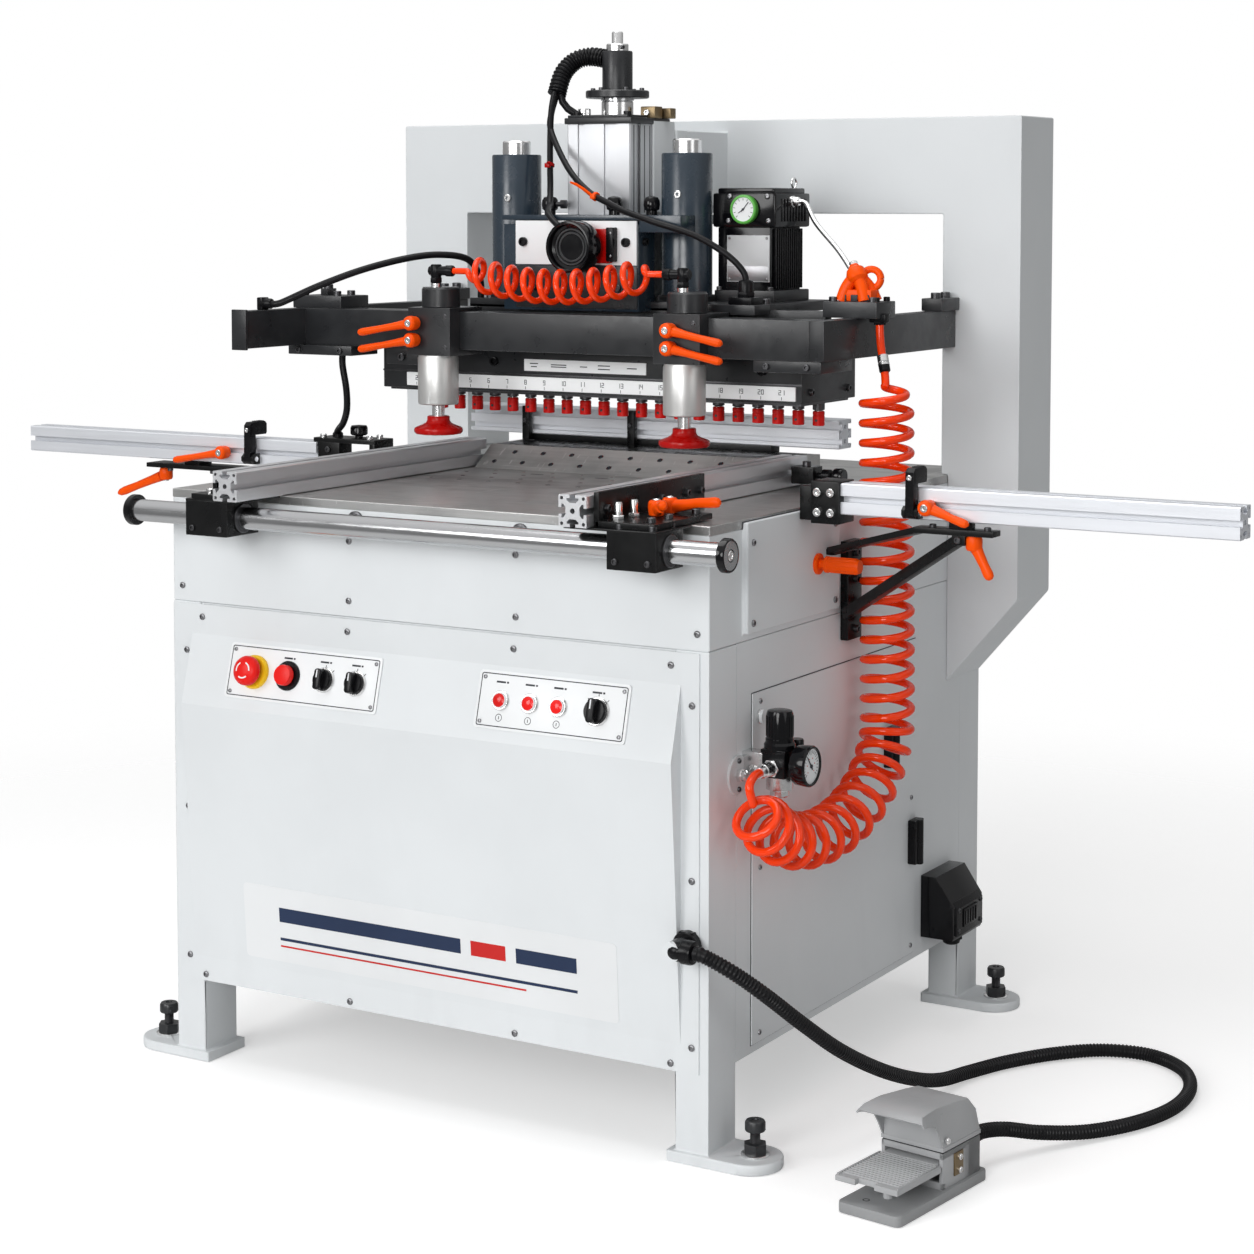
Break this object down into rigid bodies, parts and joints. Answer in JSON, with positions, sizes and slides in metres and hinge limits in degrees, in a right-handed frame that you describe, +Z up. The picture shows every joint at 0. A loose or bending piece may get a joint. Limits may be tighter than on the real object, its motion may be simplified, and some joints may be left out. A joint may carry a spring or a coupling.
{
  "type": "line boring machine",
  "caption": "Line boring machine: portal frame over a steel table, a row of geared drilling spindles on an air-fed head, sliding hold-downs, side rails and a foot pedal.",
  "frame": {"origin": "on the floor, under the middle of the machine's bounding box, free cords left out", "axes": "+X along the front to the right, +Y from the front to the back, +Z up"},
  "size_m": [2.03, 0.94, 1.441],
  "materials": {
    "body_grey": "satin light grey powder coat",
    "black_steel": "satin black paint",
    "slate_steel": "satin dark slate paint",
    "dark_steel": "blackened steel",
    "dark_casting": "black anodised aluminium",
    "table_steel": "ground steel with light scratches",
    "bright_steel": "hard chrome plate",
    "profile_aluminium": "natural anodised extrusion",
    "pedal_casting": "grey painted casting",
    "red_plastic": "glossy red moulding",
    "pad_red": "orange-red coated pad on a steel rod",
    "spindle_red": "red collet cap on a steel spindle",
    "black_plastic": "matt black moulding",
    "orange_hose": "glossy orange polyurethane tube",
    "black_rubber": "matt black sheath"
  },
  "bodies": {
    "machine": {"base_frame": "body_grey", "levelling_bolts": "dark_steel", "front_console": "body_grey", "cabinet_panels": "body_grey", "table_box": "body_grey", "work_table": "table_steel", "guide_rod": "bright_steel", "fence_profiles": "profile_aluminium", "fence_brackets": "black_steel", "arch": "body_grey", "clamp_beam": "black_steel", "head_carrier": "slate_steel", "feed_cylinder": "profile_aluminium", "motor": "dark_casting", "horn": "black_plastic", "air_manifold": "red_plastic", "air_regulator": "black_plastic", "junction_box": "black_plastic", "riser_coil": "orange_hose", "clamp_coil": "orange_hose", "head_cables": "black_rubber", "pedal_hose": "black_rubber", "pedal_body": "pedal_casting"},
    "head": {"spindle_box": "dark_casting", "head_rods": "bright_steel"},
    "spindle_01": {"spindle_01": "spindle_red"},
    "spindle_02": {"spindle_02": "spindle_red"},
    "spindle_03": {"spindle_03": "spindle_red"},
    "spindle_04": {"spindle_04": "spindle_red"},
    "spindle_05": {"spindle_05": "spindle_red"},
    "spindle_06": {"spindle_06": "spindle_red"},
    "spindle_07": {"spindle_07": "spindle_red"},
    "spindle_08": {"spindle_08": "spindle_red"},
    "spindle_09": {"spindle_09": "spindle_red"},
    "spindle_10": {"spindle_10": "spindle_red"},
    "spindle_11": {"spindle_11": "spindle_red"},
    "spindle_12": {"spindle_12": "spindle_red"},
    "spindle_13": {"spindle_13": "spindle_red"},
    "spindle_14": {"spindle_14": "spindle_red"},
    "spindle_15": {"spindle_15": "spindle_red"},
    "spindle_16": {"spindle_16": "spindle_red"},
    "spindle_17": {"spindle_17": "spindle_red"},
    "spindle_18": {"spindle_18": "spindle_red"},
    "spindle_19": {"spindle_19": "spindle_red"},
    "spindle_20": {"spindle_20": "spindle_red"},
    "spindle_21": {"spindle_21": "spindle_red"},
    "left_clamp": {"left_clamp": "dark_casting"},
    "right_clamp": {"right_clamp": "dark_casting"},
    "left_foot": {"left_foot": "pad_red"},
    "right_foot": {"right_foot": "pad_red"},
    "left_rail": {"left_rail": "profile_aluminium"},
    "right_rail": {"right_rail": "profile_aluminium"},
    "left_stop": {"left_stop": "black_plastic"},
    "right_stop": {"right_stop": "black_plastic"},
    "stop_button": {"stop_button": "red_plastic"},
    "start_button": {"start_button": "red_plastic"},
    "selector_1": {"selector_1": "black_plastic"},
    "selector_2": {"selector_2": "black_plastic"},
    "selector_3": {"selector_3": "black_plastic"},
    "treadle": {"treadle": "pedal_casting"}
  },
  "joints": [
    {"name": "head_feed", "type": "slide", "parent": "machine", "child": "head", "axis": [0, 0, -1], "range_m": [0, 0.044]},
    {"name": "spindle_01_spin", "type": "hinge", "parent": "head", "child": "spindle_01", "pos_m": [-0.32, 0.135, 0.95], "axis": [0, 0, 1], "continuous": true},
    {"name": "spindle_02_spin", "type": "hinge", "parent": "head", "child": "spindle_02", "pos_m": [-0.288, 0.135, 0.95], "axis": [0, 0, 1], "continuous": true},
    {"name": "spindle_03_spin", "type": "hinge", "parent": "head", "child": "spindle_03", "pos_m": [-0.256, 0.135, 0.95], "axis": [0, 0, 1], "continuous": true},
    {"name": "spindle_04_spin", "type": "hinge", "parent": "head", "child": "spindle_04", "pos_m": [-0.224, 0.135, 0.95], "axis": [0, 0, 1], "continuous": true},
    {"name": "spindle_05_spin", "type": "hinge", "parent": "head", "child": "spindle_05", "pos_m": [-0.192, 0.135, 0.95], "axis": [0, 0, 1], "continuous": true},
    {"name": "spindle_06_spin", "type": "hinge", "parent": "head", "child": "spindle_06", "pos_m": [-0.16, 0.135, 0.95], "axis": [0, 0, 1], "continuous": true},
    {"name": "spindle_07_spin", "type": "hinge", "parent": "head", "child": "spindle_07", "pos_m": [-0.128, 0.135, 0.95], "axis": [0, 0, 1], "continuous": true},
    {"name": "spindle_08_spin", "type": "hinge", "parent": "head", "child": "spindle_08", "pos_m": [-0.096, 0.135, 0.95], "axis": [0, 0, 1], "continuous": true},
    {"name": "spindle_09_spin", "type": "hinge", "parent": "head", "child": "spindle_09", "pos_m": [-0.064, 0.135, 0.95], "axis": [0, 0, 1], "continuous": true},
    {"name": "spindle_10_spin", "type": "hinge", "parent": "head", "child": "spindle_10", "pos_m": [-0.032, 0.135, 0.95], "axis": [0, 0, 1], "continuous": true},
    {"name": "spindle_11_spin", "type": "hinge", "parent": "head", "child": "spindle_11", "pos_m": [0, 0.135, 0.95], "axis": [0, 0, 1], "continuous": true},
    {"name": "spindle_12_spin", "type": "hinge", "parent": "head", "child": "spindle_12", "pos_m": [0.032, 0.135, 0.95], "axis": [0, 0, 1], "continuous": true},
    {"name": "spindle_13_spin", "type": "hinge", "parent": "head", "child": "spindle_13", "pos_m": [0.064, 0.135, 0.95], "axis": [0, 0, 1], "continuous": true},
    {"name": "spindle_14_spin", "type": "hinge", "parent": "head", "child": "spindle_14", "pos_m": [0.096, 0.135, 0.95], "axis": [0, 0, 1], "continuous": true},
    {"name": "spindle_15_spin", "type": "hinge", "parent": "head", "child": "spindle_15", "pos_m": [0.128, 0.135, 0.95], "axis": [0, 0, 1], "continuous": true},
    {"name": "spindle_16_spin", "type": "hinge", "parent": "head", "child": "spindle_16", "pos_m": [0.16, 0.135, 0.95], "axis": [0, 0, 1], "continuous": true},
    {"name": "spindle_17_spin", "type": "hinge", "parent": "head", "child": "spindle_17", "pos_m": [0.192, 0.135, 0.95], "axis": [0, 0, 1], "continuous": true},
    {"name": "spindle_18_spin", "type": "hinge", "parent": "head", "child": "spindle_18", "pos_m": [0.224, 0.135, 0.95], "axis": [0, 0, 1], "continuous": true},
    {"name": "spindle_19_spin", "type": "hinge", "parent": "head", "child": "spindle_19", "pos_m": [0.256, 0.135, 0.95], "axis": [0, 0, 1], "continuous": true},
    {"name": "spindle_20_spin", "type": "hinge", "parent": "head", "child": "spindle_20", "pos_m": [0.288, 0.135, 0.95], "axis": [0, 0, 1], "continuous": true},
    {"name": "spindle_21_spin", "type": "hinge", "parent": "head", "child": "spindle_21", "pos_m": [0.32, 0.135, 0.95], "axis": [0, 0, 1], "continuous": true},
    {"name": "left_clamp_slide", "type": "slide", "parent": "machine", "child": "left_clamp", "axis": [1, 0, 0], "range_m": [0, 0.06], "deforming": ["clamp_coil"]},
    {"name": "right_clamp_slide", "type": "slide", "parent": "machine", "child": "right_clamp", "axis": [-1, 0, 0], "range_m": [0, 0.06], "deforming": ["clamp_coil"]},
    {"name": "left_foot_press", "type": "slide", "parent": "left_clamp", "child": "left_foot", "axis": [0, 0, -1], "range_m": [0, 0.05]},
    {"name": "right_foot_press", "type": "slide", "parent": "right_clamp", "child": "right_foot", "axis": [0, 0, -1], "range_m": [0, 0.05]},
    {"name": "left_rail_slide", "type": "slide", "parent": "machine", "child": "left_rail", "axis": [-1, 0, 0], "range_m": [0, 0.06]},
    {"name": "right_rail_slide", "type": "slide", "parent": "machine", "child": "right_rail", "axis": [1, 0, 0], "range_m": [0, 0.06]},
    {"name": "left_stop_flip", "type": "hinge", "parent": "machine", "child": "left_stop", "pos_m": [-0.558, -0.035, 0.806], "axis": [1, 0, 0], "range_deg": [0, 90]},
    {"name": "right_stop_flip", "type": "hinge", "parent": "machine", "child": "right_stop", "pos_m": [0.596, -0.155, 0.806], "axis": [1, 0, 0], "range_deg": [0, 90]},
    {"name": "stop_button_press", "type": "slide", "parent": "machine", "child": "stop_button", "axis": [0, 0.9667, -0.2559], "range_m": [0, 0.004], "stiffness_N_per_m": 400, "springref_m": -0.003},
    {"name": "start_button_press", "type": "slide", "parent": "machine", "child": "start_button", "axis": [0, 0.9667, -0.2559], "range_m": [0, 0.004], "stiffness_N_per_m": 400, "springref_m": -0.003},
    {"name": "selector_1_turn", "type": "hinge", "parent": "machine", "child": "selector_1", "pos_m": [-0.153, -0.38331, 0.55873], "axis": [0, -0.9667, 0.2559], "range_deg": [-45, 45]},
    {"name": "selector_2_turn", "type": "hinge", "parent": "machine", "child": "selector_2", "pos_m": [-0.101, -0.38331, 0.55873], "axis": [0, -0.9667, 0.2559], "range_deg": [-45, 45]},
    {"name": "selector_3_turn", "type": "hinge", "parent": "machine", "child": "selector_3", "pos_m": [0.273, -0.38331, 0.55873], "axis": [0, -0.9667, 0.2559], "range_deg": [-45, 45]},
    {"name": "treadle_press", "type": "hinge", "parent": "machine", "child": "treadle", "pos_m": [0.68326, -0.29821, 0.04], "axis": [0.9914, -0.1305, 0], "range_deg": [0, 6], "stiffness_Nm_per_rad": 6, "springref_deg": -6.88}
  ],
  "couplings": [
    {"joint": "spindle_01_spin", "follows": "spindle_18_spin", "ratio": -1},
    {"joint": "spindle_02_spin", "follows": "spindle_18_spin", "ratio": 1},
    {"joint": "spindle_03_spin", "follows": "spindle_18_spin", "ratio": -1},
    {"joint": "spindle_04_spin", "follows": "spindle_18_spin", "ratio": 1},
    {"joint": "spindle_05_spin", "follows": "spindle_18_spin", "ratio": -1},
    {"joint": "spindle_06_spin", "follows": "spindle_18_spin", "ratio": 1},
    {"joint": "spindle_07_spin", "follows": "spindle_18_spin", "ratio": -1},
    {"joint": "spindle_08_spin", "follows": "spindle_18_spin", "ratio": 1},
    {"joint": "spindle_09_spin", "follows": "spindle_18_spin", "ratio": -1},
    {"joint": "spindle_10_spin", "follows": "spindle_18_spin", "ratio": 1},
    {"joint": "spindle_11_spin", "follows": "spindle_18_spin", "ratio": -1},
    {"joint": "spindle_12_spin", "follows": "spindle_18_spin", "ratio": 1},
    {"joint": "spindle_13_spin", "follows": "spindle_18_spin", "ratio": -1},
    {"joint": "spindle_14_spin", "follows": "spindle_18_spin", "ratio": 1},
    {"joint": "spindle_15_spin", "follows": "spindle_18_spin", "ratio": -1},
    {"joint": "spindle_16_spin", "follows": "spindle_18_spin", "ratio": 1},
    {"joint": "spindle_17_spin", "follows": "spindle_18_spin", "ratio": -1},
    {"joint": "spindle_19_spin", "follows": "spindle_18_spin", "ratio": -1},
    {"joint": "spindle_20_spin", "follows": "spindle_18_spin", "ratio": 1},
    {"joint": "spindle_21_spin", "follows": "spindle_18_spin", "ratio": -1}
  ]
}
